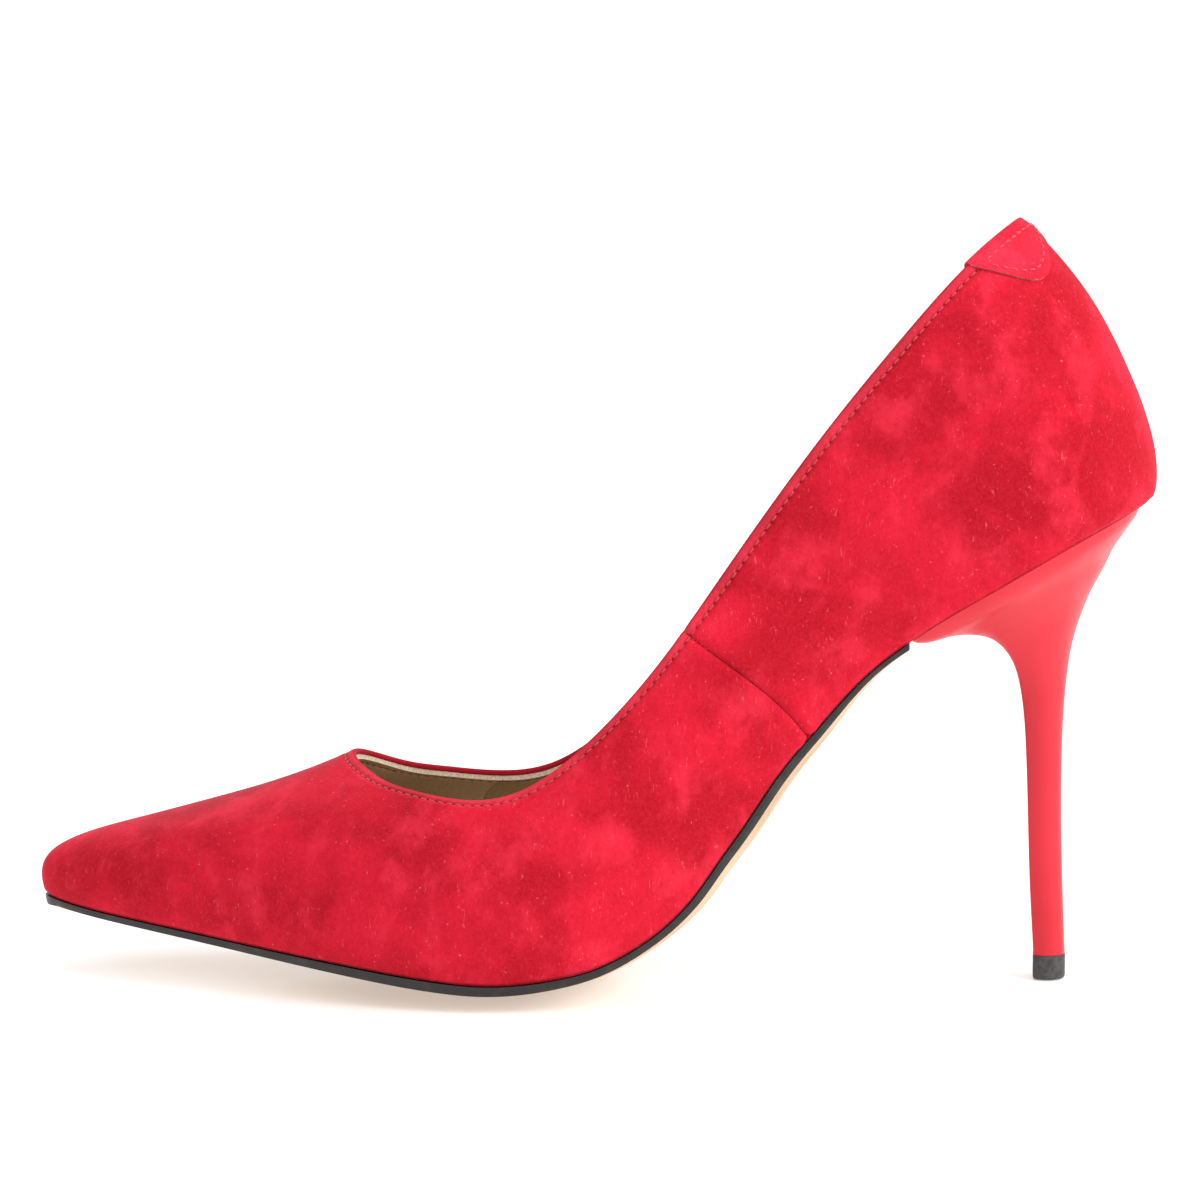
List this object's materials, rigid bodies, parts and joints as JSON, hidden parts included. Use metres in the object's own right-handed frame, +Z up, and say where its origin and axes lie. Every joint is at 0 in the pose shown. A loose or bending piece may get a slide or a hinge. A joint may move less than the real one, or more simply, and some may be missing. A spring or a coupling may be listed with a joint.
{
  "type": "high heel pump",
  "caption": "Pointed high heel pump: suede upper with stitched topline and back tab, tan lining, thin sole, slim tall heel with a small top piece.",
  "frame": {"origin": "centre of the box round the shoe, on the ground", "axes": "+X from toe to heel, +Y towards the inner side of this left foot, +Z up"},
  "size_m": [0.2438, 0.0759, 0.1661],
  "materials": {
    "suede_red": "napped suede, mottled",
    "suede_tab_red": "napped suede with a raw cream edge",
    "lining_tan_light": "smooth matte lining",
    "lining_tan": "smooth matte lining",
    "stiffener_white": "matte thermoplastic sheet",
    "tape_white": "woven tape",
    "board_brown": "pressed fibreboard",
    "board_grey": "pressed fibreboard",
    "shank_steel": "blued spring steel",
    "rivet_steel": "plain steel",
    "filler_cork": "cork and binder",
    "foam_white": "soft latex foam",
    "sock_tan": "smooth matte lining",
    "outsole_tan_black": "smooth tan sole with a glossy black painted edge",
    "heel_red": "satin red lacquer on moulded plastic",
    "dowel_steel": "plain steel tube",
    "screw_steel": "zinc plated",
    "nail_steel": "plain steel",
    "top_piece_dark": "matte hard rubber",
    "pin_steel": "plain steel",
    "thread_red": "twisted sewing thread"
  },
  "bodies": {
    "root": {"vamp": "suede_red", "quarter_lateral": "suede_red", "quarter_medial": "suede_red", "back_tab": "suede_tab_red", "vamp_lining": "lining_tan_light", "quarter_lining_lateral": "lining_tan", "quarter_lining_medial": "lining_tan", "toe_puff": "stiffener_white", "heel_counter": "stiffener_white", "topline_tape": "tape_white", "insole_board": "board_brown", "shank_board": "board_grey", "steel_shank": "shank_steel", "shank_rivets": "rivet_steel", "bottom_filler": "filler_cork", "heel_pad": "foam_white", "sock_lining": "sock_tan", "outsole": "outsole_tan_black", "heel_block": "heel_red", "heel_dowel": "dowel_steel", "heel_screw": "screw_steel", "heel_nails": "nail_steel", "top_piece": "top_piece_dark", "top_piece_pin": "pin_steel", "topline_stitching": "thread_red", "back_tab_stitching": "thread_red", "seam_stitching": "thread_red"}
  },
  "joints": []
}
